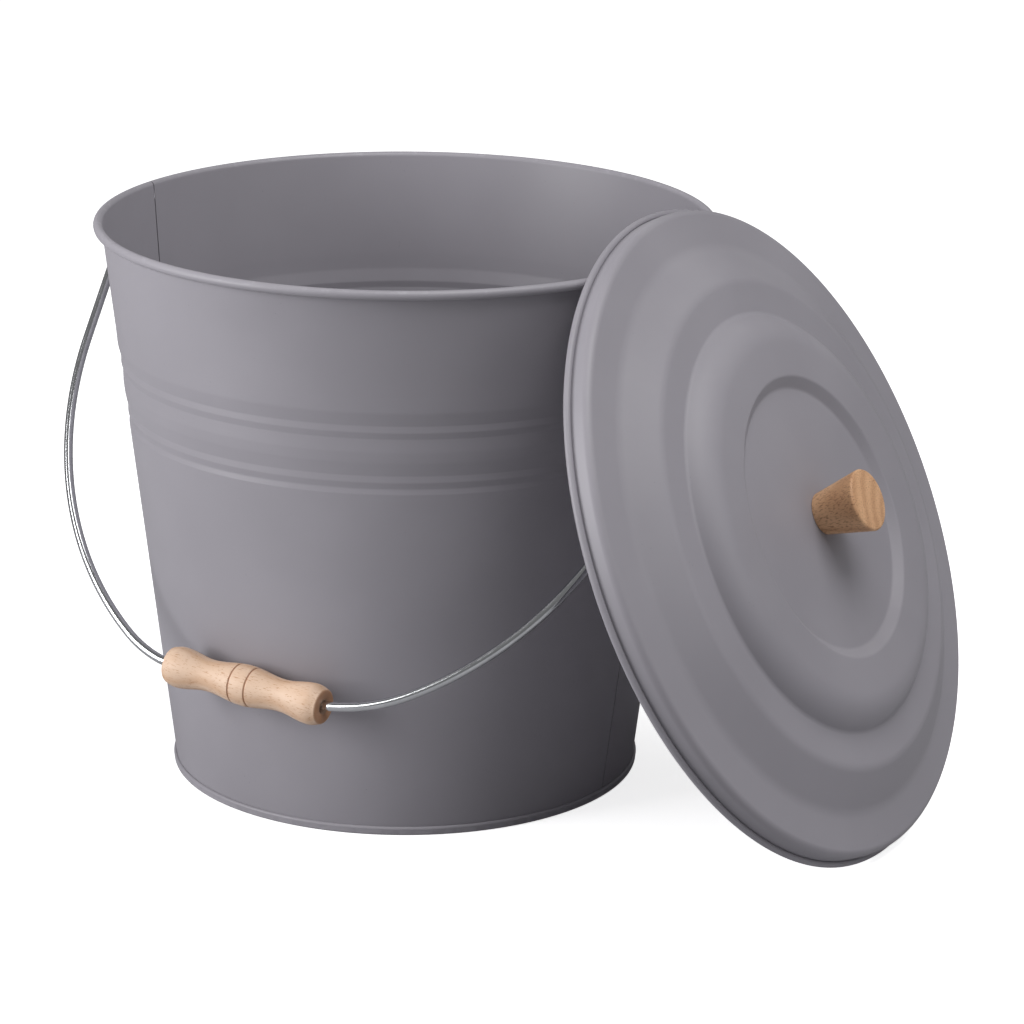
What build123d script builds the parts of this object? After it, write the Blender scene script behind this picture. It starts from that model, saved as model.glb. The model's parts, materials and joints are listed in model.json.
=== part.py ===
from build123d import *
import math
import os

# Ash bucket with a swinging bail and a loose lid that leans on its rim.
# Millimetres, +Z up. The origin is where the bucket's own axis meets the floor.
# +X runs along the bail's pivots to the side where the lid leans, and -Y is the side the bail hangs on.

# Bucket wall and rim
bucket_height = 283.0
rim_outer_radius = 155.0
foot_wall_radius = 117.2
body_sheet = 0.7
rim_curl_diameter = 4.7
rim_curl_turn = 300.0

# Stiffening beads pressed into the wall: two valleys round a low crest
upper_bead_height = 211.5
lower_bead_height = 186.2
bead_valley_depth = 0.65
bead_valley_spread = 3.3
bead_crest_depth = 0.2
bead_run = 10.0
lower_bead_foot_run = 6.0
bead_shoulder_rise = 0.2
bead_shoulder_run = 18.0
bead_crease_radius = 3.0
bead_end_radius = 15.0

# Upright seams where the two halves of the wall lap
right_seam_turn = -1.1
left_seam_turn = 181.2
seam_gap = 0.7
seam_lap = 5.0
seam_top_margin = 4.0
seam_low_margin = 0.5

# Bottom pan with its rolled foot
pan_height = 10.0
pan_sheet = 0.8
pan_corner_radius = 3.0
foot_bead_height = 4.4
foot_bead_width = 1.5
foot_lip_radius = 1.2
foot_crease_radius = 0.2
foot_edge_radius = 0.9

# Ears that carry the bail
pivot_drop = 21.0
ear_height = 15.0
ear_sheet = 1.5
ear_bridge_width = 24.0
ear_foot_length = 13.0
ear_standoff = 6.0
ear_bend_radius = 2.2
ear_corner_radius = 4.5
ear_below_pivot = 1.5

# Ear rivets
rivet_shank_diameter = 4.0
rivet_head_diameter = 7.6
rivet_head_height = 2.0
drill_length = 12.0

# Bail wire
bail_wire_diameter = 4.6
bail_drop = 230.6
bail_skew = 3.59
bail_knuckle_radius = 20.0
bail_corner_radius = 6.5
bail_middle_length = 94.0
bail_middle_shift = -10.0
right_knuckle_turn = 9.1
right_bow_turn = 25.5
right_shoulder_turn = 57.3
right_bow_share = 0.548910
left_knuckle_turn = 12.0
left_bow_turn = 17.3
left_shoulder_turn = 56.0
left_bow_share = 0.427604

# Turned wooden grip on the bail
grip_length = 90.5
grip_shift = -8.75
grip_bulge_diameter = 20.3
grip_waist_diameter = 15.8
grip_end_diameter = 16.6
grip_bore_diameter = 7.0
grip_bulge_inset = 6.5
grip_waist_spread = 21.0
grip_groove_spread = 4.7
grip_groove_width = 0.9
grip_groove_depth = 0.45
grip_left_edge_radius = 2.2
grip_right_edge_radius = 1.2
grip_end_slope = 0.9

# Lid, measured from the plane where its upright skirt ends
lid_outer_radius = 164.4
lid_sheet = 0.7
lid_curl_diameter = 3.42
lid_curl_turn = 300.0
lid_curl_drop = 3.63
lid_shoulder_rise = 9.1
lid_band_rise = 11.3
lid_ring_rise = 22.7
lid_crown_rise = 32.9
lid_dish_rise = 29.0
lid_centre_rise = 31.6
lid_band_radius = 141.2
lid_cone_radius = 121.8
lid_ring_radius = 104.3
lid_crown_radius = 96.9
lid_step_radius = 70.0
lid_dish_radius = 64.8
lid_seat_radius = 12.5
lid_shoulder_bend = 4.0
lid_band_bend = 14.0
lid_cone_bend = 10.0
lid_ring_bend = 2.8
lid_crown_bend = 20.5
lid_step_bend = 2.8
lid_seat_bend = 20.0

# How the lid leans
lid_lean = 24.66
lid_lean_turn = 0.3
lid_lean_shift = 1.0
lid_contact_turn = 60.0
lid_contact_step = 0.25
lid_contact_tolerance = 0.003

# Wooden knob and what holds it
knob_height = 25.8
knob_shift = 1.4
knob_base_diameter = 20.6
knob_top_diameter = 31.0
knob_dome = 0.9
knob_edge_radius = 1.3
knob_screw_diameter = 4.0
knob_screw_reach = 17.0
screw_head_diameter = 8.0
screw_head_height = 2.6
screw_slot_width = 1.1
screw_slot_length = 4.6
screw_slot_depth = 1.3
screw_tip_radius = 0.6
screw_tip_length = 2.8
pilot_spare_depth = 1.0
washer_diameter = 12.0
washer_thickness = 1.0

# Clearances
seam_fit = 0.05
wire_fit = 0.25
pin_fit = 0.1
rivet_fit = 0.05
screw_fit = 0.05
screw_hole_fit = 0.1
seat_gap = 0.02
rivet_head_gap = 0.08
lid_pass_gap = 0.4
lid_rest_gap = 0.35
grip_wall_gap = 0.3
grip_hang_gap = 0.25
stub_end_gap = 1.75

os.makedirs("parts", exist_ok=True)


def cos_deg(angle):
    return math.cos(math.radians(angle))


def sin_deg(angle):
    return math.sin(math.radians(angle))


pivot_height = bucket_height - pivot_drop

# Shape of the wall: a cone that runs straight into the rolled rim
rim_curl_radius = rim_curl_diameter / 2
rim_centre_radius = rim_outer_radius - rim_curl_radius
rim_centre_height = bucket_height - rim_curl_radius
rim_bore_radius = rim_curl_radius - body_sheet
wall_spread = rim_centre_radius - foot_wall_radius
wall_lean = math.degrees(
    math.atan2(wall_spread, rim_centre_height)
    - math.asin(rim_bore_radius / math.hypot(wall_spread, rim_centre_height))
)
wall_slope = math.tan(math.radians(wall_lean))


def wall_radius(height):
    """Radius of the wall's outside face at a height."""
    return foot_wall_radius + height * wall_slope


def wall_point(height, out=0.0, up=0.0):
    """Point in the (radius, height) plane, out from the wall's face and up along it."""
    radius = wall_radius(height) + out * cos_deg(wall_lean) + up * sin_deg(wall_lean)
    return (radius, height - out * sin_deg(wall_lean) + up * cos_deg(wall_lean))


def beside_wall(height, out):
    """Point at a true height, at a distance out from the wall's face."""
    return (wall_radius(height) + out / cos_deg(wall_lean), height)


def parallel_edge(edge, distance):
    """Line or arc beside another one, to the left of its run by a distance."""
    points = []
    for share in (0, 0.5, 1):
        along = edge % share
        points.append(edge @ share + Vector(-along.Y, along.X) * distance)
    if edge.geom_type == GeomType.LINE:
        return Line(points[0], points[2])
    return ThreePointArc(*points)


def sheet_section(outline, thickness):
    """Closed section of a sheet between a run of tangent edges and their parallels on its left."""
    face_edges = Wire(outline).order_edges()
    back_edges = [parallel_edge(edge, thickness) for edge in face_edges]
    start_cap = Line(face_edges[0] @ 0, back_edges[0] @ 0)
    end_cap = Line(face_edges[-1] @ 1, back_edges[-1] @ 1)
    return make_face([*face_edges, start_cap, end_cap, *back_edges])


def turned(section, start=0.0, sweep_angle=360.0):
    """Solid turned about Z from a section drawn with radius on x and height on y."""
    upright = Rot(90, 0, 0) * section
    return Rot(0, 0, start) * revolve(upright, axis=Axis.Z, revolution_arc=sweep_angle)


def dome_arc(radius, height, rise):
    """Arc of a round dome, from its edge to its top on the axis."""
    ball = (radius**2 + rise**2) / (2 * rise)
    halfway = radius / 2
    halfway_height = height + rise - ball + math.copysign(math.sqrt(ball**2 - halfway**2), rise)
    return ThreePointArc((radius, height), (halfway, halfway_height), (0, height + rise))


def bead_points(height, below, above, rise):
    """Corners of one bead, from its lower end to the shoulder at its upper end."""
    return [
        wall_point(height, 0, -below),
        wall_point(height, -bead_valley_depth, -bead_valley_spread),
        wall_point(height, -bead_crest_depth),
        wall_point(height, -bead_valley_depth, bead_valley_spread),
        wall_point(height, rise, above),
    ]


def wall_outline(foot, head):
    """Run of the wall's outside face over both its beads, from a foot to a head."""
    corners = [
        foot,
        *bead_points(lower_bead_height, lower_bead_foot_run, bead_run, 0),
        *bead_points(upper_bead_height, bead_run, bead_run, bead_shoulder_rise),
        wall_point(upper_bead_height, 0, bead_shoulder_run),
        head,
    ]
    creases = [bead_crease_radius] * 3
    lower_bends = [bead_crease_radius, *creases, bead_end_radius]
    upper_bends = [bead_end_radius, *creases, bead_end_radius]
    outline = FilletPolyline(*corners, radius=[*lower_bends, *upper_bends, bead_end_radius])
    return Wire(outline.edges()).order_edges()


def wall_section():
    """Section of the wall from its foot to the end of the rolled rim."""
    foot = beside_wall(pan_sheet + seam_fit + body_sheet * sin_deg(wall_lean), 0)
    centre = (rim_centre_radius, rim_centre_height)
    curl_start = 180 - wall_lean
    curl = CenterArc(centre, rim_bore_radius, curl_start, -rim_curl_turn)
    return sheet_section([*wall_outline(foot, curl @ 0), curl], body_sheet)


seam_top = bucket_height - rim_curl_diameter - seam_top_margin


def seam_strip(start, sweep_angle, low, depth, thickness):
    """Upright strip that follows the wall from a height up, at a depth behind its outside face."""
    outline = wall_outline(beside_wall(low, 0), beside_wall(seam_top, 0))
    near_face = [parallel_edge(edge, depth) for edge in outline]
    return turned(sheet_section(near_face, thickness), start, sweep_angle)


def arc_degrees(length):
    """Turn round the bucket's axis that spans a length at the ears' height."""
    return math.degrees(length / wall_radius(pivot_height))


rivet_turn = math.degrees(
    math.asin((ear_bridge_width + ear_foot_length) / 2 / wall_radius(pivot_height))
)
ear_centre_height = pivot_height - ear_below_pivot


def rivet_planes(side):
    """Planes of one ear's two rivets, on the wall's outside face, facing outwards."""
    planes = []
    for turn in (-rivet_turn, rivet_turn):
        azimuth = side + turn
        radius, height = wall_point(ear_centre_height)
        origin = (radius * cos_deg(azimuth), radius * sin_deg(azimuth), height)
        facing = (
            cos_deg(wall_lean) * cos_deg(azimuth),
            cos_deg(wall_lean) * sin_deg(azimuth),
            -sin_deg(wall_lean),
        )
        planes.append(Plane(origin=origin, z_dir=facing))
    return planes


def shell(start, finish, laps):
    """One half of the wall. With its laps, it runs over its neighbour's start and behind its finish."""
    half_gap = arc_degrees(seam_gap) / 2
    body = turned(wall_section(), start + half_gap, finish - start - 2 * half_gap)
    if laps:
        reach = arc_degrees(seam_lap)
        weld = body_sheet + seam_fit
        low = foot_bead_height + seam_low_margin
        body += seam_strip(start - reach, 2 * reach, low, -seam_fit, -body_sheet)
        body += seam_strip(start + half_gap, reach, low, body_sheet / 2, -weld)
        low = pan_height + seam_low_margin
        body += seam_strip(finish - reach, 2 * reach, low, weld, body_sheet)
        body += seam_strip(finish - half_gap - reach, reach, low, body_sheet / 2, weld)
    drill = Cylinder(rivet_shank_diameter / 2 + rivet_fit, drill_length)
    for side in (0.0, 180.0):
        for plane in rivet_planes(side):
            body = body - plane.location * drill
    return body


front_shell = shell(left_seam_turn - 360, right_seam_turn, True)
rear_shell = shell(right_seam_turn, left_seam_turn, False)

rim_wire = Pos(0, 0, rim_centre_height) * Torus(rim_centre_radius, rim_bore_radius - wire_fit)


def pan_section():
    """Section of the bottom pan, whose flange goes down the wall and rolls up round its edge."""
    back = -(body_sheet + seam_fit)
    outline = [
        (0, pan_height),
        beside_wall(pan_height, back),
        beside_wall(pan_sheet, back),
        beside_wall(pan_sheet, seam_fit),
        beside_wall(foot_bead_height, seam_fit),
        beside_wall(foot_bead_height, foot_bead_width),
        beside_wall(0, foot_bead_width),
        beside_wall(0, back - pan_sheet),
        beside_wall(pan_height - pan_sheet, back - pan_sheet),
        (0, pan_height - pan_sheet),
    ]
    inner_corner = pan_corner_radius - pan_sheet
    radii = [
        pan_corner_radius,
        0,
        0,
        foot_crease_radius,
        foot_lip_radius,
        foot_lip_radius,
        foot_edge_radius,
        inner_corner,
    ]
    axis_side = Line(outline[-1], outline[0])
    return make_face(FilletPolyline(*outline, radius=radii).edges() + [axis_side])


base_pan = turned(pan_section())


def ear():
    """Bracket bent from strip: two feet on the wall and a bridge that stands off it."""
    bottom = ear_centre_height - ear_height / 2
    foot_face = wall_radius(bottom) + seat_gap
    half_bridge = ear_bridge_width / 2
    shoulder = (foot_face - half_bridge * sin_deg(rivet_turn)) / cos_deg(rivet_turn)
    span = foot_face * math.tan(math.radians(rivet_turn))
    away = span + ear_foot_length / 2
    toe = (foot_face - away * sin_deg(rivet_turn)) / cos_deg(rivet_turn)
    bridge = foot_face + ear_standoff
    inside = [
        (toe, -away),
        (shoulder, -half_bridge),
        (bridge, -half_bridge),
        (bridge, half_bridge),
        (shoulder, half_bridge),
        (toe, away),
    ]
    bends = [ear_bend_radius + ear_sheet, ear_bend_radius, ear_bend_radius, ear_bend_radius + ear_sheet]
    line = FilletPolyline(*inside, radius=bends)
    plan = sheet_section(line.edges(), -ear_sheet)
    direction = (sin_deg(wall_lean), 0, cos_deg(wall_lean))
    bracket = Pos(0, 0, bottom) * extrude(plan, ear_height / cos_deg(wall_lean), dir=direction)
    toes = [edge for edge in bracket.edges() if abs(edge.center().Y) > away and edge.length < 2 * ear_sheet]
    bracket = fillet(toes, ear_corner_radius)
    bore = Cylinder(bail_wire_diameter / 2 + pin_fit, drill_length)
    bracket = bracket - Pos(bridge, 0, pivot_height) * Rot(0, 90, 0) * bore
    drill = Cylinder(rivet_shank_diameter / 2 + rivet_fit, drill_length)
    for plane in rivet_planes(0.0):
        bracket = bracket - plane.location * drill
    return bracket


ear_right = ear()
ear_left = Rot(0, 0, 180) * ear()


def rivet():
    """Rivet along its own Z, with the wall's outside face at 0 and its tail flush with the inside."""
    outer = rivet_head_gap + ear_sheet
    dome = dome_arc(rivet_head_diameter / 2, outer, rivet_head_height)
    outline = Polyline(
        (0, outer + rivet_head_height),
        (0, -body_sheet),
        (rivet_shank_diameter / 2, -body_sheet),
        (rivet_shank_diameter / 2, outer),
        (rivet_head_diameter / 2, outer),
    )
    return turned(make_face(outline.edges() + [dome]))


ear_right_rivets = Compound([plane.location * rivet() for plane in rivet_planes(0.0)])
ear_left_rivets = Compound([plane.location * rivet() for plane in rivet_planes(180.0)])

# The bail lies in one plane through the pivots: x along them, y away from them.
# Its legs stand clear of the lid's rolled edge, and its stubs end short of the wall.
wire_radius = bail_wire_diameter / 2
leg_reach = lid_outer_radius + lid_pass_gap + wire_radius
stub_end = wall_radius(pivot_height) + stub_end_gap


def arc_step(heading, turn):
    """Displacement per unit radius of an arc that turns clockwise from a heading."""
    after = heading - turn
    return (sin_deg(heading) - sin_deg(after), cos_deg(after) - cos_deg(heading))


class BentWire:
    """Straight stretches and clockwise bends, each tangent to the one before."""

    def __init__(self, start, heading):
        self.place = start
        self.heading = heading
        self.edges = []

    def straight(self, length):
        x, y = self.place
        finish = (x + length * cos_deg(self.heading), y + length * sin_deg(self.heading))
        self.edges.append(Line(self.place, finish))
        self.place = finish

    def bend(self, radius, turn):
        x, y = self.place
        centre = (x + radius * sin_deg(self.heading), y - radius * cos_deg(self.heading))
        self.edges.append(CenterArc(centre, radius, self.heading + 90, -turn))
        step = arc_step(self.heading, turn)
        self.place = (x + radius * step[0], y + radius * step[1])
        self.heading -= turn


def bail_half(start, heading, knuckle_turn, bow_turn, shoulder_turn, bow_share):
    """Half of the bail, from one end of its straight middle to the stub's end.

    The bow's radius is a share of the shoulder's, and the shoulder's radius and the leg's length
    are the ones that bring the leg down on the pivot."""
    wire = BentWire(start, heading)
    wire.bend(bail_knuckle_radius, knuckle_turn)
    leg_heading = wire.heading - bow_turn - shoulder_turn
    leg = (cos_deg(leg_heading), sin_deg(leg_heading))
    corner = arc_step(leg_heading, 180 + leg_heading)
    corner_y = -bail_corner_radius * corner[1]
    goal_x = leg_reach + corner_y / math.tan(math.radians(leg_heading)) - wire.place[0]
    goal_y = corner_y - wire.place[1]
    bow = arc_step(wire.heading, bow_turn)
    shoulder = arc_step(wire.heading - bow_turn, shoulder_turn)
    bends = (bow[0] * bow_share + shoulder[0], bow[1] * bow_share + shoulder[1])
    scale = bends[0] * leg[1] - bends[1] * leg[0]
    shoulder_radius = (goal_x * leg[1] - goal_y * leg[0]) / scale
    wire.bend(shoulder_radius * bow_share, bow_turn)
    wire.bend(shoulder_radius, shoulder_turn)
    wire.straight((bends[0] * goal_y - bends[1] * goal_x) / scale)
    wire.bend(bail_corner_radius, 180 + wire.heading)
    wire.straight(wire.place[0] - stub_end)
    return wire.edges


middle_right = bail_middle_shift + bail_middle_length / 2
middle_left = bail_middle_shift - bail_middle_length / 2
skew_slope = math.tan(math.radians(bail_skew))


def middle_point(x):
    """Point on the bail's straight middle."""
    return (x, bail_drop + x * skew_slope)


right_edges = bail_half(
    middle_point(middle_right),
    bail_skew,
    right_knuckle_turn,
    right_bow_turn,
    right_shoulder_turn,
    right_bow_share,
)
left_edges = bail_half(
    (-middle_left, middle_point(middle_left)[1]),
    -bail_skew,
    left_knuckle_turn,
    left_bow_turn,
    left_shoulder_turn,
    left_bow_share,
)
left_edges = [mirror(edge, about=Plane.YZ) for edge in left_edges]
middle = Line(middle_point(middle_left), middle_point(middle_right))
bail_route = Wire([edge for piece in [*right_edges, middle, *left_edges] for edge in piece.edges()])
bail_section = Plane(origin=bail_route @ 0, z_dir=bail_route % 0) * Circle(wire_radius)

# The grip hangs on the wire, a little below the wire's own axis, and leans on the wall.
grip_sag = (grip_bore_diameter - bail_wire_diameter) / 2 - grip_hang_gap
grip_radius = grip_bulge_diameter / 2


def hang_angle(out, inward):
    """Angle of the bail below level at which the grip comes to the wall."""
    reach = math.hypot(bail_drop + out, inward)
    stand = grip_radius + grip_wall_gap + foot_wall_radius * cos_deg(wall_lean)
    stand += pivot_height * sin_deg(wall_lean)
    turn = math.degrees(math.acos(stand / reach) - math.atan2(inward, bail_drop + out))
    return wall_lean + turn


bail_hang = hang_angle(0, 0)
sag_out = grip_sag * sin_deg(bail_hang)
sag_inward = grip_sag * cos_deg(bail_hang)
bail_hang = hang_angle(sag_out, sag_inward)
bail_place = Pos(0, 0, pivot_height) * Rot(180 + bail_hang, 0, 0)
bail_wire = bail_place * sweep(bail_section, path=bail_route)


def grip_section():
    """Half section of the grip, with its length on x and its radius on y."""
    half = grip_length / 2
    bulge = half - grip_bulge_inset
    waist = grip_waist_spread
    bulge_radius = grip_bulge_diameter / 2
    waist_radius = grip_waist_diameter / 2
    end_radius = grip_end_diameter / 2
    stations = [
        (-half, end_radius),
        (-bulge, bulge_radius),
        (-waist, waist_radius),
        (0, bulge_radius),
        (waist, waist_radius),
        (bulge, bulge_radius),
        (half, end_radius),
    ]
    profile = Spline(*stations, tangents=[(1, grip_end_slope), (1, -grip_end_slope)])
    bore = grip_bore_diameter / 2
    rest = Polyline(stations[-1], (half, bore), (-half, bore), stations[0])
    return make_face(profile.edges() + rest.edges())


def grip_body():
    """Turned grip along X, with its bore and its two cut rings."""
    body = revolve(grip_section(), axis=Axis.X)
    for side, edge_radius in ((-1, grip_left_edge_radius), (1, grip_right_edge_radius)):
        circles = [edge for edge in body.edges().filter_by(GeomType.CIRCLE) if edge.center().X * side > 0]
        rims = [edge for edge in circles if edge.radius > grip_bore_diameter]
        body = fillet(rims, edge_radius)
    ring_bore = grip_bulge_diameter / 2 - grip_groove_depth
    cutter = Cylinder(grip_bulge_diameter, grip_groove_width) - Cylinder(ring_bore, grip_groove_width)
    for side in (-1, 1):
        body = body - Pos(side * grip_groove_spread, 0, 0) * Rot(0, 90, 0) * cutter
    return body


grip_middle = middle_point(grip_shift)
grip_place = Pos(grip_middle[0], grip_middle[1] + sag_out, sag_inward) * Rot(0, 0, bail_skew)
grip = bail_place * grip_place * grip_body()

# Lid, drawn with its radius on x and its rise above the skirt's end on y
lid_curl_radius = lid_curl_diameter / 2
lid_curl_bore = lid_curl_radius - lid_sheet
lid_curl_centre = lid_outer_radius - lid_curl_radius
lid_curl_height = lid_curl_radius - lid_curl_drop
lid_skirt_radius = lid_curl_centre - lid_curl_bore


def lid_section():
    """Section of the lid from its centre to the end of its rolled edge."""
    points = [
        (0, lid_centre_rise),
        (lid_seat_radius, lid_centre_rise),
        (lid_dish_radius, lid_dish_rise),
        (lid_step_radius, lid_crown_rise),
        (lid_crown_radius, lid_crown_rise),
        (lid_ring_radius, lid_ring_rise),
        (lid_cone_radius, lid_ring_rise),
        (lid_band_radius, lid_band_rise),
        (lid_skirt_radius, lid_shoulder_rise),
        (lid_skirt_radius, lid_curl_height),
    ]
    bends = [
        lid_seat_bend,
        lid_step_bend,
        lid_step_bend,
        lid_crown_bend,
        lid_ring_bend,
        lid_cone_bend,
        lid_band_bend,
        lid_shoulder_bend,
    ]
    top = FilletPolyline(*points, radius=bends)
    curl = CenterArc((lid_curl_centre, lid_curl_height), lid_curl_bore, 180, lid_curl_turn)
    return sheet_section(top.edges() + curl.edges(), -lid_sheet)


lid_axis = Vector(
    cos_deg(lid_lean) * cos_deg(lid_lean_turn),
    cos_deg(lid_lean) * sin_deg(lid_lean_turn),
    sin_deg(lid_lean),
)
lid_across = Vector(sin_deg(lid_lean_turn), -cos_deg(lid_lean_turn), 0)
lid_centre_height = (
    lid_curl_centre * cos_deg(lid_lean) - lid_curl_height * sin_deg(lid_lean) + lid_curl_radius
)


def rim_gap(stand):
    """Least gap between the rolled rim and the lid's rolled edge, with the lid at a distance."""
    centre = Vector(stand, lid_lean_shift, lid_centre_height)
    gaps = []
    steps = round(lid_contact_turn / lid_contact_step)
    for step in range(-steps, steps + 1):
        azimuth = step * lid_contact_step
        rim_x = rim_centre_radius * cos_deg(azimuth)
        rim_y = rim_centre_radius * sin_deg(azimuth)
        rim = Vector(rim_x, rim_y, rim_centre_height)
        rise = (rim - centre).dot(lid_axis)
        radius = (rim - centre - lid_axis * rise).length
        gaps.append(math.hypot(radius - lid_curl_centre, rise - lid_curl_height))
    return min(gaps) - rim_curl_radius - lid_curl_radius


def leaning_distance():
    """Distance of the lid's centre from the bucket's axis once it has come in to the rim."""
    far = rim_outer_radius + lid_outer_radius
    near = far - 1
    while rim_gap(near) > lid_rest_gap:
        far = near
        near = far - 1
    while far - near > lid_contact_tolerance:
        halfway = (near + far) / 2
        if rim_gap(halfway) > lid_rest_gap:
            far = halfway
        else:
            near = halfway
    return far


lid_stand = leaning_distance()
lid_place = Plane(
    origin=(lid_stand, lid_lean_shift, lid_centre_height), x_dir=lid_across, z_dir=lid_axis
).location

knob_place = lid_place * Pos(0, -knob_shift, 0)
lid_drill = Pos(0, 0, lid_centre_rise) * Cylinder(knob_screw_diameter / 2 + screw_hole_fit, drill_length)

lid_shell = lid_place * turned(lid_section()) - knob_place * lid_drill
lid_edge_wire = lid_place * Pos(0, 0, lid_curl_height) * Torus(lid_curl_centre, lid_curl_bore - wire_fit)


def knob_body():
    """Flared knob with a low dome and a pilot hole for its screw."""
    base = lid_centre_rise + seat_gap
    top = base + knob_height
    base_radius = knob_base_diameter / 2
    top_radius = knob_top_diameter / 2
    side = Line((base_radius, base), (top_radius, top))
    dome = dome_arc(top_radius, top, knob_dome)
    bottom = Polyline((0, top + knob_dome), (0, base), (base_radius, base))
    body = turned(make_face(side.edges() + dome.edges() + bottom.edges()))
    circles = body.edges().filter_by(GeomType.CIRCLE)
    rims = [edge for edge in circles if edge.radius > base_radius + knob_dome]
    body = fillet(rims, knob_edge_radius)
    pilot = Cylinder(
        knob_screw_diameter / 2 + screw_fit,
        knob_screw_reach + pilot_spare_depth,
        align=(Align.CENTER, Align.CENTER, Align.MIN),
    )
    return body - Pos(0, 0, base) * pilot


def screw_body():
    """Round-headed screw, driven up through the washer and the lid into the knob."""
    seat = lid_centre_rise - lid_sheet - washer_thickness - 2 * seat_gap
    head_radius = screw_head_diameter / 2
    shank_radius = knob_screw_diameter / 2
    tip = lid_centre_rise + knob_screw_reach
    outline = Polyline(
        (0, seat - screw_head_height),
        (0, tip),
        (screw_tip_radius, tip),
        (shank_radius, tip - screw_tip_length),
        (shank_radius, seat),
        (head_radius, seat),
    )
    head = dome_arc(head_radius, seat, -screw_head_height)
    body = turned(make_face(outline.edges() + [head]))
    slot = Box(screw_slot_length, screw_slot_width, 2 * screw_slot_depth)
    cross = slot + Rot(0, 0, 90) * slot
    return body - Pos(0, 0, seat - screw_head_height) * cross


def washer_body():
    """Flat washer under the lid's centre."""
    middle = lid_centre_rise - lid_sheet - seat_gap - washer_thickness / 2
    disc = Cylinder(washer_diameter / 2, washer_thickness)
    hole = Cylinder(knob_screw_diameter / 2 + screw_hole_fit, washer_thickness)
    return Pos(0, 0, middle) * (disc - hole)


lid_knob = knob_place * knob_body()
knob_screw = knob_place * screw_body()
knob_washer = knob_place * washer_body()

nodes = {
    "front_shell": front_shell,
    "rear_shell": rear_shell,
    "rim_wire": rim_wire,
    "base_pan": base_pan,
    "ear_right": ear_right,
    "ear_left": ear_left,
    "ear_right_rivets": ear_right_rivets,
    "ear_left_rivets": ear_left_rivets,
    "bail_wire": bail_wire,
    "grip": grip,
    "lid_shell": lid_shell,
    "lid_edge_wire": lid_edge_wire,
    "lid_knob": lid_knob,
    "knob_screw": knob_screw,
    "knob_washer": knob_washer,
}
for name, piece in nodes.items():
    export_step(piece, f"parts/{name}.step")

grip_frame = bail_place * grip_place
print("lid centre", round(lid_stand, 3), lid_lean_shift, round(lid_centre_height, 3))
print("lid axis", [round(share, 6) for share in lid_axis])
print("bail hang angle", round(bail_hang, 3), "wall lean", round(wall_lean, 3))
print("grip centre", [round(place, 3) for place in grip_frame.position])
print("grip axis", [round(share, 6) for share in Plane(grip_frame).x_dir])
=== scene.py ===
"""Looks of an ash bucket: a grey coated bucket, its wire bail with a turned grip, and its lid with a knob."""

import json
import logging
import math
from dataclasses import dataclass, field
from enum import Enum

import bmesh
import bpy
from mathutils import Matrix, Vector


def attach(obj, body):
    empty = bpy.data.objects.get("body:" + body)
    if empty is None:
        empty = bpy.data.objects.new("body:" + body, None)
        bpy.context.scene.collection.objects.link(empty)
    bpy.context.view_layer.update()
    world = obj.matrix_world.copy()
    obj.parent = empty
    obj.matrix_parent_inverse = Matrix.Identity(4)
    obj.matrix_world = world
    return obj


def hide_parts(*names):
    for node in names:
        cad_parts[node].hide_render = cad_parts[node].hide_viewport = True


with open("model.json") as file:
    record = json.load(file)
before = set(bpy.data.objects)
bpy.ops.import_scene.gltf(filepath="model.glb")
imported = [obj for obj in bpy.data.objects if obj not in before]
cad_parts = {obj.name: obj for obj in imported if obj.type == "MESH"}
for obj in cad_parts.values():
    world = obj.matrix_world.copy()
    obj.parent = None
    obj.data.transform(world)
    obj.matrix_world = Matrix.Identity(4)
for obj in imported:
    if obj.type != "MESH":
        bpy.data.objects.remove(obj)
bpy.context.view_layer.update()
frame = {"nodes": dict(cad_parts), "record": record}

log = logging.getLogger("ash_bucket")

Point = tuple[float, float]
Point3 = tuple[float, float, float]
Colour = tuple[float, float, float]

MM = 0.001
MERGE_DISTANCE = 1e-7
SLIVER_DISTANCE = 1e-8
SAME_POINT = 1e-9
STRAIGHT_TURN = 0.05
LARGEST_STRETCH = 2.0
CURL_STEP = 8.0
EDGE_STEP = 12.0
SHARP_METAL = 40.0
SHARP_WOOD = 50.0
PITH_OFFSET = (0.019, -0.012, 0.0)
WHITE = (1.0, 1.0, 1.0, 1.0)


class Slot(Enum):
    """Material slots of the record."""

    BODY = "body"
    LID = "lid"
    EARS = "ears"
    WIRE = "wire"
    FIXINGS = "fixings"
    GRIP = "grip"
    KNOB = "knob"


class Body(Enum):
    """Moving bodies of the record."""

    BUCKET = "bucket"
    BAIL = "bail"
    GRIP = "grip"
    LID = "lid"


# Sections and meshes


def wall_side(angle: float, radius: float, centre: Point) -> Point:
    """Point on a circle at an angle in degrees."""
    turn = math.radians(angle)
    return (centre[0] + radius * math.cos(turn), centre[1] + radius * math.sin(turn))


def arc_points(centre: Point, radius: float, start: float, sweep: float, step: float = 5.0) -> list[Point]:
    """Points along an arc.

    Args:
        centre: Centre of the arc.
        radius: Its radius.
        start: Angle of the first point, in degrees.
        sweep: Turn from the first point to the last, in degrees, positive anticlockwise.
        step: Largest turn between two points, in degrees.

    Returns:
        The points, from the first to the last.
    """
    count = max(2, math.ceil(abs(sweep) / step))
    return [wall_side(start + sweep * index / count, radius, centre) for index in range(count + 1)]


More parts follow.
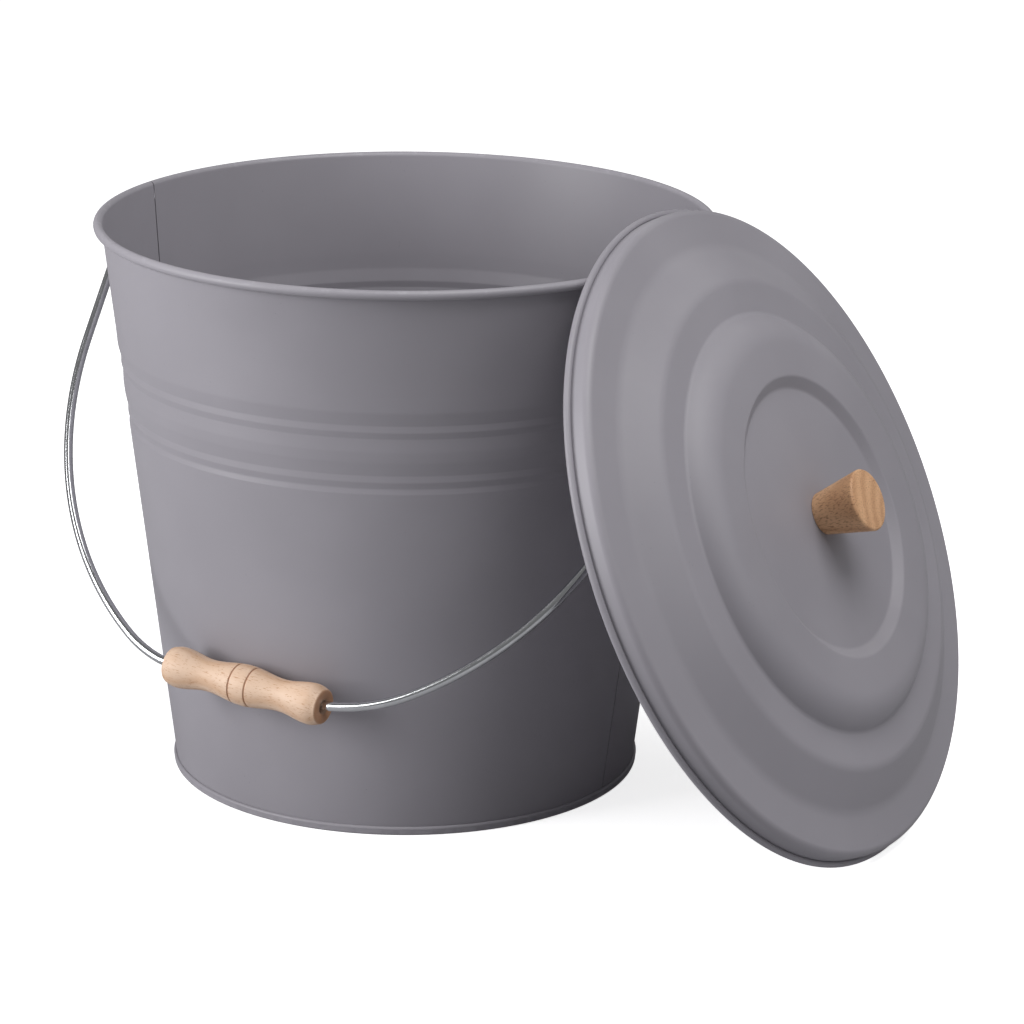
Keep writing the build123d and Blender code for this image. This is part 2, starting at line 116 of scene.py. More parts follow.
def rounded_run(corners: list[Point], bends: list[float], step: float = 5.0) -> list[Point]:
    """Run of straight lines with its inner corners rounded.

    Args:
        corners: Corners of the run, in order.
        bends: Radius at each corner except the first and the last.
        step: Largest turn between two points of a bend, in degrees.

    Returns:
        Points along the run, with its arcs sampled.
    """
    points = [corners[0]]
    for before, corner, after, radius in zip(corners, corners[1:], corners[2:], bends):
        place = Vector(corner)
        back = (Vector(before) - place).normalized()
        ahead = (Vector(after) - place).normalized()
        opening = back.angle(ahead)
        if radius <= 0 or math.pi - opening < math.radians(STRAIGHT_TURN):
            points.append(corner)
            continue
        run_in = radius / math.tan(opening / 2)
        centre = place + (back + ahead).normalized() * (radius / math.sin(opening / 2))
        first = place + back * run_in - centre
        last = place + ahead * run_in - centre
        start = math.degrees(math.atan2(first.y, first.x))
        sweep = (math.degrees(math.atan2(last.y, last.x)) - start + 180.0) % 360.0 - 180.0
        points += arc_points(tuple(centre), radius, start, sweep, step)
    points.append(corners[-1])
    return points


def beside(points: list[Point], distance: float) -> list[Point]:
    """Run beside another one, to its left by a distance.

    Args:
        points: Points of the run.
        distance: How far to the left the new run lies, negative for the right.

    Returns:
        One point for each point of the run.
    """
    moved = []
    for index, point in enumerate(points):
        before = Vector(points[max(index - 1, 0)])
        after = Vector(points[min(index + 1, len(points) - 1)])
        place = Vector(point)
        sides = []
        for run in (place - before, after - place):
            if run.length > SAME_POINT:
                run.normalize()
                sides.append(Vector((-run.y, run.x)))
        side = sum(sides, Vector((0.0, 0.0))).normalized()
        stretch = 1.0 / max(side.dot(sides[0]), 1.0 / LARGEST_STRETCH)
        moved.append(tuple(place + side * (distance * stretch)))
    return moved


def sheet_section(points: list[Point], thickness: float) -> list[Point]:
    """Closed section of a sheet that lies between a run and the run beside it."""
    return points + beside(points, thickness)[::-1]


def finish_mesh(shape: bmesh.types.BMesh, name: str, sharp: float, place: Matrix) -> bpy.types.Object:
    """Turns a built shape into a smooth shaded object with crisp sharp edges.

    Args:
        shape: The shape, in the piece's own frame, in metres.
        name: Name of the piece.
        sharp: Angle between faces above which an edge stays sharp, in degrees.
        place: Where the piece's own frame lies.

    Returns:
        The new object, in place.
    """
    bmesh.ops.remove_doubles(shape, verts=shape.verts, dist=MERGE_DISTANCE)
    bmesh.ops.dissolve_degenerate(shape, dist=SLIVER_DISTANCE, edges=shape.edges)
    bmesh.ops.recalc_face_normals(shape, faces=shape.faces)
    mesh = bpy.data.meshes.new(name)
    shape.to_mesh(mesh)
    shape.free()
    mesh.shade_smooth()
    mesh.set_sharp_from_angle(angle=math.radians(sharp))
    piece = bpy.data.objects.new(name, mesh)
    bpy.context.scene.collection.objects.link(piece)
    piece.matrix_world = place
    return piece


def grid_faces(shape: bmesh.types.BMesh, rows: list[list[bmesh.types.BMVert]], closed: bool) -> None:
    """Adds the faces between rows of points.

    Args:
        shape: The shape that gets the faces.
        rows: Rows of the same number of points, each row a closed ring.
        closed: Whether the last row joins the first. If it doesn't, both end rows are capped.
    """
    count = len(rows[0])
    pairs = list(zip(rows, rows[1:])) + ([(rows[-1], rows[0])] if closed else [])
    for near, far in pairs:
        for index in range(count):
            after = (index + 1) % count
            shape.faces.new((near[index], near[after], far[after], far[index]))
    if not closed:
        shape.faces.new(rows[0][::-1])
        shape.faces.new(rows[-1])


def turned(
    name: str,
    section: list[Point],
    count: int,
    sharp: float = SHARP_METAL,
    place: Matrix = Matrix.Identity(4),
) -> bpy.types.Object:
    """Piece turned about its own Z from a closed section.

    Args:
        name: Name of the piece.
        section: Closed section, as (radius, height) in millimetres.
        count: Number of steps round the axis.
        sharp: Angle above which an edge stays sharp, in degrees.
        place: Where the piece's own frame lies.

    Returns:
        The new object.
    """
    shape = bmesh.new()
    rows = []
    for step in range(count):
        turn = 2 * math.pi * step / count
        across, along = math.cos(turn) * MM, math.sin(turn) * MM
        rows.append([shape.verts.new((r * across, r * along, z * MM)) for r, z in section])
    grid_faces(shape, rows, True)
    return finish_mesh(shape, name, sharp, place)


def joint_place(name: str) -> tuple[Vector, Vector]:
    """Place and axis of a joint of the record, in metres."""
    for joint in frame["record"]["behaviour"]["joints"]:
        if joint["name"] == name:
            return Vector(joint.get("pos_m", (0.0, 0.0, 0.0))), Vector(joint["axis"]).normalized()
    raise KeyError(name)


def axis_frame(origin: Vector, axis: Vector, across: Vector) -> Matrix:
    """Frame with its Z along an axis and its X as near as it can be to another direction."""
    x_axis = (across - axis * across.dot(axis)).normalized()
    y_axis = axis.cross(x_axis)
    return Matrix.Translation(origin) @ Matrix((x_axis, y_axis, axis)).transposed().to_4x4()


# Shader graphs and the effects that several finishes share


class Graph:
    """Nodes of one shader tree."""

    def __init__(self, tree: bpy.types.NodeTree) -> None:
        """Keeps the tree that the nodes go into."""
        self.tree = tree

    def node(self, kind: str, inputs: dict | None = None, **settings) -> bpy.types.Node:
        """Adds a node.

        Args:
            kind: Blender's name for the node's type.
            inputs: Value or socket for each named or numbered input.
            **settings: Values for the node's own settings.

        Returns:
            The new node.
        """
        node = self.tree.nodes.new(kind)
        for key, value in settings.items():
            setattr(node, key, value)
        for key, value in (inputs or {}).items():
            if isinstance(value, bpy.types.NodeSocket):
                self.tree.links.new(value, node.inputs[key])
            else:
                node.inputs[key].default_value = value
        return node

    def sum_of(self, operation: str, first, second=0.0, third=0.0, clamp: bool = False):
        """Socket with the result of a math node."""
        values = {0: first, 1: second, 2: third}
        return self.node("ShaderNodeMath", values, operation=operation, use_clamp=clamp).outputs[0]

    def blend(self, share, first, second):
        """Socket with a mix of two colours."""
        sides = [side if isinstance(side, bpy.types.NodeSocket) else (*side, 1.0) for side in (first, second)]
        return self.node("ShaderNodeMix", {0: share, 6: sides[0], 7: sides[1]}, data_type="RGBA").outputs[2]

    def spread(self, value, low: float, high: float, to_low: float = 0.0, to_high: float = 1.0):
        """Socket with a value's range mapped smoothly to another range."""
        values = {"Value": value, "From Min": low, "From Max": high, "To Min": to_low, "To Max": to_high}
        return self.node("ShaderNodeMapRange", values, interpolation_type="SMOOTHSTEP").outputs[0]

    def noise(self, vector, scale, detail: float = 2.0, roughness: float = 0.5):
        """Socket with a noise value."""
        values = {"Vector": vector, "Scale": scale, "Detail": detail, "Roughness": roughness}
        return self.node("ShaderNodeTexNoise", values).outputs[0]

    def stretched(self, vector, scale: tuple[float, float, float]):
        """Socket with a position scaled along each axis."""
        return self.node("ShaderNodeMapping", {"Vector": vector, "Scale": scale}).outputs[0]


def fresh_graph(holder: bpy.types.Material | bpy.types.World) -> Graph:
    """Empties a material's or a world's tree and returns its graph."""
    holder.use_nodes = True
    holder.node_tree.nodes.clear()
    return Graph(holder.node_tree)


class Effects:
    """Shader node groups that the finishes share. Each is built once."""

    def __init__(self) -> None:
        """Builds the groups."""
        self.coat = self.coat_skin()
        self.scuff = self.scuff_band()
        self.dust = self.settled_dust()
        self.grain = self.wood_grain()
        self.plate = self.zinc_bloom()

    @staticmethod
    def start(name: str, inputs: dict[str, tuple[str, object]], outputs: list[str]):
        """Starts a group with named sockets.

        Args:
            name: Name of the group.
            inputs: Kind of socket and default value for each input.
            outputs: Names of the outputs, all plain values.

        Returns:
            The group, its graph, its inputs' sockets and its output node.
        """
        tree = bpy.data.node_groups.new(name, "ShaderNodeTree")
        for label, (kind, default) in inputs.items():
            socket = tree.interface.new_socket(label, in_out="INPUT", socket_type=f"NodeSocket{kind}")
            if default is not None:
                socket.default_value = default
        for label in outputs:
            tree.interface.new_socket(label, in_out="OUTPUT", socket_type="NodeSocketFloat")
        graph = Graph(tree)
        return tree, graph, graph.node("NodeGroupInput").outputs, graph.node("NodeGroupOutput")

    def coat_skin(self) -> bpy.types.NodeTree:
        """Fine orange peel of a baked coat, with slow changes of tone and a few specks."""
        inputs = {"Vector": ("Vector", None), "Fineness": ("Float", 900.0), "Mottle": ("Float", 8.0)}
        tree, graph, given, out = self.start("coat_skin", inputs, ["Height", "Tone", "Specks"])
        peel = graph.noise(given["Vector"], given["Fineness"], 3.0, 0.55)
        slow = graph.noise(given["Vector"], given["Mottle"], 4.0, 0.5)
        spots = {"Vector": given["Vector"], "Scale": 260.0}
        dots = graph.node("ShaderNodeTexVoronoi", spots).outputs["Distance"]
        rare = graph.spread(graph.noise(given["Vector"], 70.0, 1.0), 0.56, 0.66)
        specks = graph.sum_of("MULTIPLY", graph.spread(dots, 0.10, 0.05), rare)
        for label, value in (("Height", peel), ("Tone", graph.spread(slow, 0.3, 0.7)), ("Specks", specks)):
            graph.tree.links.new(value, out.inputs[label])
        return tree

    def scuff_band(self) -> bpy.types.NodeTree:
        """Worn or dirty band round a value, such as a height, broken up by noise."""
        inputs = {
            "Vector": ("Vector", None),
            "Along": ("Float", 0.0),
            "Place": ("Float", 0.0),
            "Width": ("Float", 0.002),
            "Break": ("Float", 160.0),
            "Cover": ("Float", 0.5),
        }
        tree, graph, given, out = self.start("scuff_band", inputs, ["Mask"])
        away = graph.sum_of("ABSOLUTE", graph.sum_of("SUBTRACT", given["Along"], given["Place"]))
        near = graph.sum_of("SUBTRACT", 1.0, graph.sum_of("DIVIDE", away, given["Width"]), clamp=True)
        patch = graph.noise(given["Vector"], given["Break"], 4.0, 0.6)
        lifted = graph.sum_of("ADD", patch, graph.sum_of("SUBTRACT", given["Cover"], 0.5))
        mask = graph.sum_of("MULTIPLY", graph.spread(near, 0.0, 1.0), graph.spread(lifted, 0.45, 0.62))
        graph.tree.links.new(mask, out.inputs["Mask"])
        return tree

    def settled_dust(self) -> bpy.types.NodeTree:
        """Dust on what faces up, thicker in drifts."""
        inputs = {"Vector": ("Vector", None), "Normal": ("Vector", None), "Amount": ("Float", 0.2)}
        tree, graph, given, out = self.start("settled_dust", inputs, ["Mask"])
        up = graph.node("ShaderNodeSeparateXYZ", {0: given["Normal"]}).outputs["Z"]
        drift = graph.spread(graph.noise(given["Vector"], 24.0, 5.0, 0.6), 0.35, 0.75)
        mask = graph.sum_of("MULTIPLY", graph.spread(up, 0.1, 1.0), drift)
        mask = graph.sum_of("MULTIPLY", mask, given["Amount"], clamp=True)
        graph.tree.links.new(mask, out.inputs["Mask"])
        return tree

    def wood_grain(self) -> bpy.types.NodeTree:
        """Growth rings, fibres and open pores of a wood whose grain runs along Z."""
        inputs = {"Vector": ("Vector", None), "Rings": ("Float", 120.0), "Pores": ("Float", 0.5)}
        tree, graph, given, out = self.start("wood_grain", inputs, ["Tone", "Pores", "Height"])
        wander = graph.stretched(given["Vector"], (1.0, 1.0, 0.16))
        from_pith = {0: wander, 1: PITH_OFFSET}
        pith = graph.node("ShaderNodeVectorMath", from_pith, operation="ADD").outputs[0]
        values = {"Vector": pith, "Scale": given["Rings"], "Distortion": 3.0}
        values |= {"Detail": 2.0, "Detail Scale": 1.2}
        kind = {"wave_type": "RINGS", "rings_direction": "Z", "wave_profile": "SIN"}
        rings = graph.node("ShaderNodeTexWave", values, **kind).outputs[1]
        fibres = graph.noise(graph.stretched(given["Vector"], (2600.0, 2600.0, 95.0)), 1.0, 3.0, 0.6)
        flakes = graph.noise(graph.stretched(given["Vector"], (1700.0, 1700.0, 340.0)), 1.0, 1.0)
        slow = graph.noise(graph.stretched(given["Vector"], (80.0, 80.0, 18.0)), 1.0, 2.0)
        cut = graph.sum_of("SUBTRACT", 0.74, graph.sum_of("MULTIPLY", given["Pores"], 0.16))
        edge = graph.sum_of("SUBTRACT", flakes, cut)
        pores = graph.sum_of("MULTIPLY", graph.spread(edge, 0.0, 0.05), graph.spread(fibres, 0.42, 0.58))
        tone = graph.sum_of("MULTIPLY", rings, 0.34)
        tone = graph.sum_of("MULTIPLY_ADD", fibres, 0.38, tone)
        tone = graph.sum_of("MULTIPLY_ADD", slow, 0.3, tone)
        height = graph.sum_of("SUBTRACT", graph.sum_of("MULTIPLY", fibres, 0.35), pores)
        for label, value in (("Tone", tone), ("Pores", pores), ("Height", height)):
            graph.tree.links.new(value, out.inputs[label])
        return tree

    def zinc_bloom(self) -> bpy.types.NodeTree:
        """Cloudy bloom and fine drawing marks of zinc-plated steel."""
        inputs = {"Vector": ("Vector", None), "Fineness": ("Float", 700.0)}
        tree, graph, given, out = self.start("zinc_bloom", inputs, ["Tone", "Height"])
        cloud = graph.noise(given["Vector"], 60.0, 4.0, 0.6)
        marks = graph.noise(given["Vector"], given["Fineness"], 3.0, 0.6)
        tone = graph.sum_of("MULTIPLY_ADD", marks, 0.35, graph.sum_of("MULTIPLY", cloud, 0.65))
        for label, value in (("Tone", tone), ("Height", marks)):
            graph.tree.links.new(value, out.inputs[label])
        return tree


class Finish:
    """Start of a material: its tree, its surface shader and the piece's own coordinates."""

    def __init__(self, name: str) -> None:
        """Makes an empty material with a surface shader.

        Args:
            name: Name of the material.
        """
        self.material = bpy.data.materials.new(name)
        self.graph = fresh_graph(self.material)
        self.shader = self.graph.node("ShaderNodeBsdfPrincipled")
        self.graph.node("ShaderNodeOutputMaterial", {"Surface": self.shader.outputs[0]})
        self.vector = self.graph.node("ShaderNodeTexCoord").outputs["Object"]
        self.parts = self.graph.node("ShaderNodeSeparateXYZ", {0: self.vector}).outputs

    def effect(self, tree: bpy.types.NodeTree, **values):
        """Places a shared effect and returns its outputs."""
        node = self.graph.node("ShaderNodeGroup", node_tree=tree)
        for label, value in values.items():
            key = label.replace("_", " ")
            if isinstance(value, bpy.types.NodeSocket):
                self.graph.tree.links.new(value, node.inputs[key])
            else:
                node.inputs[key].default_value = value
        if "Vector" in node.inputs and "Vector" not in values:
            self.graph.tree.links.new(self.vector, node.inputs["Vector"])
        return node.outputs

    def surface(self, **values) -> None:
        """Sets inputs of the surface shader to values or sockets."""
        for label, value in values.items():
            key = label.replace("_", " ")
            if isinstance(value, bpy.types.NodeSocket):
                self.graph.tree.links.new(value, self.shader.inputs[key])
            else:
                self.shader.inputs[key].default_value = value

    def relief(self, height, strength: float, depth: float):
        """Normal from a height.

        Args:
            height: Socket with the height.
            strength: Share of the effect.
            depth: Height of a full step, in metres.

        Returns:
            Socket with the normal.
        """
        values = {"Height": height, "Strength": strength, "Distance": depth}
        return self.graph.node("ShaderNodeBump", values).outputs[0]


@dataclass(frozen=True)
class CoatBand:
    """Place on a coated piece where the coat is scuffed."""

    axis: str
    place: float
    width: float
    cover: float


@dataclass(frozen=True)
class CoatFinish:
    """Satin baked coat on sheet steel."""

    name: str
    colour: Colour = (0.285, 0.272, 0.302)
    roughness: float = 0.46
    fineness: float = 950.0
    dust: float = 0.10
    mottle: float = 7.0
    peel_share: float = 0.22
    peel_depth: float = 0.00004
    gloss: float = 0.42
    dark_share: float = 0.94
    light_share: float = 1.05
    worn_share: float = 1.35
    speck_share: float = 0.45
    dust_colour: Colour = (0.44, 0.43, 0.43)
    bands: tuple[CoatBand, ...] = ()

    def build(self, effects: Effects) -> bpy.types.Material:
        """Material of the coat.

        Args:
            effects: The shared effects.

        Returns:
            The material.
        """
        finish = Finish(self.name)
        graph = finish.graph
        skin = finish.effect(effects.coat, Fineness=self.fineness, Mottle=self.mottle)
        dark = tuple(share * self.dark_share for share in self.colour)
        light = tuple(share * self.light_share for share in self.colour)
        colour = graph.blend(skin["Tone"], dark, light)
        rough = graph.sum_of("MULTIPLY_ADD", skin["Tone"], 0.07, self.roughness - 0.03)
        for band in self.bands:
            mask = finish.effect(
                effects.scuff,
                Along=finish.parts[band.axis],
                Place=band.place,
                Width=band.width,
                Cover=band.cover,
            )["Mask"]
            worn = tuple(min(share * self.worn_share + 0.02, 1.0) for share in self.colour)
            colour = graph.blend(graph.sum_of("MULTIPLY", mask, 0.35), colour, worn)
            rough = graph.sum_of("MULTIPLY_ADD", mask, -0.08, rough)
        speck = tuple(share * self.speck_share for share in self.colour)
        colour = graph.blend(graph.sum_of("MULTIPLY", skin["Specks"], 0.30), colour, speck)
        normal = graph.node("ShaderNodeNewGeometry").outputs["Normal"]
        dust = finish.effect(effects.dust, Normal=normal, Amount=self.dust)["Mask"]
        colour = graph.blend(dust, colour, self.dust_colour)
        rough = graph.sum_of("MULTIPLY_ADD", dust, 0.3, rough)
        normal = finish.relief(skin["Height"], self.peel_share, self.peel_depth)
        finish.surface(Base_Color=colour, Roughness=rough, Normal=normal, Specular_IOR_Level=self.gloss)
        return finish.material


@dataclass(frozen=True)
class ZincFinish:
    """Bright zinc-plated steel."""

    name: str
    colour: Colour = (0.66, 0.67, 0.69)
    roughness: float = 0.11
    fineness: float = 700.0
    dark_share: float = 0.82
    relief_share: float = 0.15
    relief_depth: float = 0.00003

    def build(self, effects: Effects) -> bpy.types.Material:
        """Material of the plated steel.

        Args:
            effects: The shared effects.

        Returns:
            The material.
        """
        finish = Finish(self.name)
        graph = finish.graph
        bloom = finish.effect(effects.plate, Fineness=self.fineness)
        tone = graph.spread(bloom["Tone"], 0.3, 0.7)
        dark = tuple(share * self.dark_share for share in self.colour)
        colour = graph.blend(tone, dark, self.colour)
        rough = graph.spread(bloom["Tone"], 0.35, 0.7, self.roughness + 0.10, self.roughness - 0.02)
        normal = finish.relief(bloom["Height"], self.relief_share, self.relief_depth)
        finish.surface(Base_Color=colour, Roughness=rough, Normal=normal, Metallic=1.0)
        return finish.material


@dataclass(frozen=True)
class WoodBand:
    """Place along a turned piece where its wood is darker, such as a cut ring or an end."""

    place: float
    width: float
    share: float
    colour: Colour


@dataclass(frozen=True)
class WoodFinish:
    """Thinly lacquered turned wood with its grain along the piece's own Z."""

    name: str
    light: Colour
    dark: Colour
    pore: Colour
    rings: float = 120.0
    pores: float = 0.5
    roughness: float = 0.48
    relief_share: float = 0.5
    relief_depth: float = 0.0001
    gloss: float = 0.4
    band_break: float = 420.0
    band_cover: float = 0.86
    bands: tuple[WoodBand, ...] = ()

    def build(self, effects: Effects) -> bpy.types.Material:
        """Material of the wood.

        Args:
            effects: The shared effects.

        Returns:
            The material.
        """
        finish = Finish(self.name)
        graph = finish.graph
        grain = finish.effect(effects.grain, Rings=self.rings, Pores=self.pores)
        colour = graph.blend(graph.spread(grain["Tone"], 0.25, 0.85), self.light, self.dark)
        for band in self.bands:
            mask = finish.effect(
                effects.scuff,
                Along=finish.parts["Z"],
                Place=band.place,
                Width=band.width,
                Break=self.band_break,
                Cover=self.band_cover,
            )["Mask"]
            colour = graph.blend(graph.sum_of("MULTIPLY", mask, band.share), colour, band.colour)
        colour = graph.blend(graph.sum_of("MULTIPLY", grain["Pores"], 0.75), colour, self.pore)
        rough = graph.sum_of("MULTIPLY_ADD", grain["Tone"], 0.10, self.roughness - 0.05)
        normal = finish.relief(grain["Height"], self.relief_share, self.relief_depth)
        finish.surface(Base_Color=colour, Roughness=rough, Normal=normal, Specular_IOR_Level=self.gloss)
        return finish.material


def place_piece(
    piece: bpy.types.Object, material: bpy.types.Material, body: Body, slot: Slot, *nodes: str
) -> None:
    """Dresses a new piece, puts it on its body and hides the nodes that it replaces.

    Args:
        piece: The new piece, in place.
        material: Its material.
        body: Body that it rides on.
        slot: Slot of the record that its finish comes from. Not used.
        *nodes: Nodes of the frame that it replaces.
    """
    piece.data.materials.append(material)
    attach(piece, body.value)
    if nodes:
        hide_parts(*nodes)
    log.info("%s rides on %s, %d faces", piece.name, body.value, len(piece.data.polygons))


def dress_node(name: str, material: bpy.types.Material) -> None:
    """Gives a node of the frame its material.

    Args:
        name: The node.
        material: Its material.
    """
    node = frame["nodes"][name]
    if not node.material_slots:
        node.data.materials.append(material)
    for holder in node.material_slots:
        holder.link = "OBJECT"
        holder.material = material
    log.info("%s keeps its own mesh, %d faces", name, len(node.data.polygons))


# Sub-assemblies


@dataclass
class Bucket:
    """Tapered wall in two halves, bottom pan, ears and rivets. Millimetres and degrees."""

    rim_radius: float = 155.0
    height: float = 283.0
    foot_radius: float = 117.2
    sheet: float = 0.7
    curl_radius: float = 2.35
    curl_turn: float = 300.0
    beads: tuple[float, ...] = (186.2, 211.5)
    valley_depth: float = 0.65
    valley_spread: float = 3.3
    crest_depth: float = 0.2
    bead_run: float = 10.0
    foot_run: float = 6.0
    shoulder_rise: float = 0.2
    shoulder_run: float = 18.0
    crease_bend: float = 3.0
    end_bend: float = 15.0
    bead_step: float = 3.0
    foot_start: float = 0.93
    pan_height: float = 10.0
    pan_sheet: float = 0.8
    pan_corner: float = 3.0
    foot_bead_height: float = 4.4
    foot_bead_width: float = 1.5
    foot_edge: float = 0.9
    foot_lip: float = 1.2
    foot_crease: float = 0.2
    seam_fit: float = 0.05
    seam_gap: float = 0.7
    seam_lap: float = 5.0
    seam_joggle: float = 9.0
    joggle_middle: float = 0.45
    joggle_steps: tuple[float, float] = (0.02, 0.3)
    joggle_end: float = 0.6
    lap_start: float = 0.1
    seam_margin: float = 0.5
    seam_high: float = 274.3
    right_seam: tuple[Point, ...] = ((4.0, -2.3), (36.0, -1.0), (70.0, 0.0), (283.0, 0.2))
    left_seam: tuple[Point, ...] = ((0.0, 181.8), (244.0, 181.8), (283.0, 180.2))
    steps: int = 200
    slope: float = field(init=False)
    lean: float = field(init=False)

    def __post_init__(self) -> None:
        """Works out the wall's lean, which makes it run straight into the rolled rim."""
        spread = self.rim_radius - self.curl_radius - self.foot_radius
        rise = self.height - self.curl_radius
        bore = self.curl_radius - self.sheet
        self.lean = math.atan2(spread, rise) - math.asin(bore / math.hypot(spread, rise))
        self.slope = math.tan(self.lean)

    def wall_radius(self, height: float) -> float:
        """Radius of the wall's outside face at a height."""
        return self.foot_radius + height * self.slope

    def beside_wall(self, height: float, out: float) -> Point:
        """Point at a height, at a distance out from the wall's face."""
        return (self.wall_radius(height) + out / math.cos(self.lean), height)

    def wall_point(self, height: float, out: float, up: float) -> Point:
        """Point out from the wall's face and up along it, from a height."""
        radius = self.wall_radius(height) + out * math.cos(self.lean) + up * math.sin(self.lean)
        return (radius, height - out * math.sin(self.lean) + up * math.cos(self.lean))

    def wall_run(self, low: float, head: Point) -> list[Point]:
        """Run of the wall's outside face over both its beads.

        Args:
            low: Height where the run starts.
            head: Point where it ends.

        Returns:
            Points from the foot up. Each bead is two valleys round a low crest.
        """
        lower, upper = self.beads
        rises = ((lower, self.foot_run, 0.0), (upper, self.bead_run, self.shoulder_rise))
        corners = [self.beside_wall(low, 0.0)]
        for height, below, rise in rises:
            corners.append(self.wall_point(height, 0.0, -below))
            corners.append(self.wall_point(height, -self.valley_depth, -self.valley_spread))
            corners.append(self.wall_point(height, -self.crest_depth, 0.0))
            corners.append(self.wall_point(height, -self.valley_depth, self.valley_spread))
            corners.append(self.wall_point(height, rise, self.bead_run))
        corners += [self.wall_point(upper, 0.0, self.shoulder_run), head]
        creases = [self.crease_bend] * 3
        ends = [self.end_bend] * 2
        bends = [self.crease_bend, *creases, *ends, *creases, *ends]
        return rounded_run(corners, bends, self.bead_step)

    def wall_section(self) -> list[Point]:
        """Closed section of the wall with its beads and its rolled rim."""
        centre = (self.rim_radius - self.curl_radius, self.height - self.curl_radius)
        start = 180.0 - math.degrees(self.lean)
        curl = arc_points(centre, self.curl_radius - self.sheet, start, -self.curl_turn, CURL_STEP)
        return sheet_section(self.wall_run(self.foot_start, curl[0])[:-1] + curl, self.sheet)

    @staticmethod
    def seam_turn(seam: tuple[Point, ...], height: float) -> float:
        """Turn of a seam at a height, in degrees."""
        for (low, first), (high, last) in zip(seam, seam[1:]):
            if height <= high:
                share = max(0.0, (height - low) / (high - low))
                return first + (last - first) * share
        return seam[-1][1]

    def wall_rows(
        self,
        shape: bmesh.types.BMesh,
        section: list[Point],
        start: tuple[Point, ...],
        finish: tuple[Point, ...],
    ) -> list[list[bmesh.types.BMVert]]:
        """Rows of points of one half of the wall, between two seams.

        Args:
            shape: The shape that gets the points.
            section: The wall's section.
            start: Turn of the first seam at each height.
            finish: Turn of the last seam at each height.

        Returns:
            One row for each step round the wall.
        """
        rows = []
        for step in range(self.steps + 1):
            row = []
            for radius, height in section:
                gap = math.degrees(self.seam_gap / 2 / radius)
                first = self.seam_turn(start, height) + gap
                last = self.seam_turn(finish, height) - gap
                if last < first:
                    last += 360.0
                turn = math.radians(first + (last - first) * step / self.steps)
                place = (radius * math.cos(turn) * MM, radius * math.sin(turn) * MM, height * MM)
                row.append(shape.verts.new(place))
            rows.append(row)
        return rows

    def lap(self, shape: bmesh.types.BMesh, seam: tuple[Point, ...], way: int, inside: bool) -> None:
        """Adds the joggled strip that runs on past a seam, behind or over the other half of the wall.

        Args:
            shape: The shape of the half that has the strip.
            seam: The seam's turn at each height.
            way: +1 where the strip runs on to larger turns, -1 where it runs to smaller ones.
            inside: Whether it lies inside the wall. If it doesn't, it lies outside.
        """
        low = (self.pan_height if inside else self.foot_bead_height) + self.seam_margin
        outline = self.wall_run(low, self.beside_wall(self.seam_high, 0.0))
        face, sign = (self.sheet, 1.0) if inside else (0.0, -1.0)
        full = self.sheet + self.seam_fit
        shallow, half_way = self.joggle_steps
        stations = (
            (-self.seam_joggle, self.sheet / 2, face + sign * shallow),
            (-self.seam_joggle * self.joggle_middle, self.sheet / 2, face + sign * half_way),
            (-self.joggle_end, self.sheet / 2, face + sign * full),
            (self.lap_start, face + sign * self.seam_fit, face + sign * full),
            (self.seam_lap, face + sign * self.seam_fit, face + sign * full),
        )
        near, far = [], []
        for along, front, back in stations:
            for depth, runs in ((front, near), (back, far)):
                run = []
                for radius, height in beside(outline, depth):
                    turn = math.radians(self.seam_turn(seam, height) + way * math.degrees(along / radius))
                    place = (radius * math.cos(turn) * MM, radius * math.sin(turn) * MM, height * MM)
                    run.append(shape.verts.new(place))
                runs.append(run)
        rows = [list(row) for row in zip(*near, *far[::-1])]
        first = len(shape.faces)
        grid_faces(shape, rows, False)
        # Faces seen only through the seam's gap get material 1, a near-black painted shade that makes the gap
        # read dark.
        hidden = {vert for run in near for vert in run}
        shape.faces.ensure_lookup_table()
        for face_made in shape.faces[first:]:
            if all(vert in hidden for vert in face_made.verts):
                face_made.material_index = 1

    def build_wall(self, material: bpy.types.Material, shaded: bpy.types.Material) -> None:
        """Builds both halves of the wall.

        Args:
            material: The coat.
            shaded: Near-black coat, painted shade, for the lap faces seen through a seam's gap.
        """
        section = self.wall_section()
        halves = (
            ("front_wall", self.left_seam, self.right_seam, "front_shell", True),
            ("rear_wall", self.right_seam, self.left_seam, "rear_shell", False),
        )
        for name, start, finish, node, has_lap in halves:
            shape = bmesh.new()
            if has_lap:
                start = tuple((height, turn - 360.0) for height, turn in start)
            grid_faces(shape, self.wall_rows(shape, section, start, finish), False)
            if has_lap:
                self.lap(shape, start, -1, False)
                self.lap(shape, finish, 1, True)
            piece = finish_mesh(shape, name, SHARP_METAL, Matrix.Identity(4))
            place_piece(piece, material, Body.BUCKET, Slot.BODY, node)
            if has_lap:
                # Second material: near-black painted shade in the seam gaps.
                piece.data.materials.append(shaded)

    def build_pan(self, material: bpy.types.Material) -> None:
        """Builds the bottom pan with its rolled foot.

        Args:
            material: The coat.
        """
        back = -(self.sheet + self.seam_fit)
        corners = [
            (0.0, self.pan_height),
            self.beside_wall(self.pan_height, back),
            self.beside_wall(self.pan_sheet, back),
            self.beside_wall(self.pan_sheet, self.seam_fit),
            self.beside_wall(self.foot_bead_height, self.seam_fit),
            self.beside_wall(self.foot_bead_height, self.foot_bead_width),
            self.beside_wall(0.0, self.foot_bead_width),
            self.beside_wall(0.0, back - self.pan_sheet),
            self.beside_wall(self.pan_height - self.pan_sheet, back - self.pan_sheet),
            (0.0, self.pan_height - self.pan_sheet),
        ]
        inner = self.pan_corner - self.pan_sheet
        lip = self.foot_lip
        bends = [self.pan_corner, 0.0, 0.0, self.foot_crease, lip, lip, self.foot_edge, inner]
        piece = turned("bottom_pan", rounded_run(corners, bends), 2 * self.steps)
        place_piece(piece, material, Body.BUCKET, Slot.BODY, "base_pan")


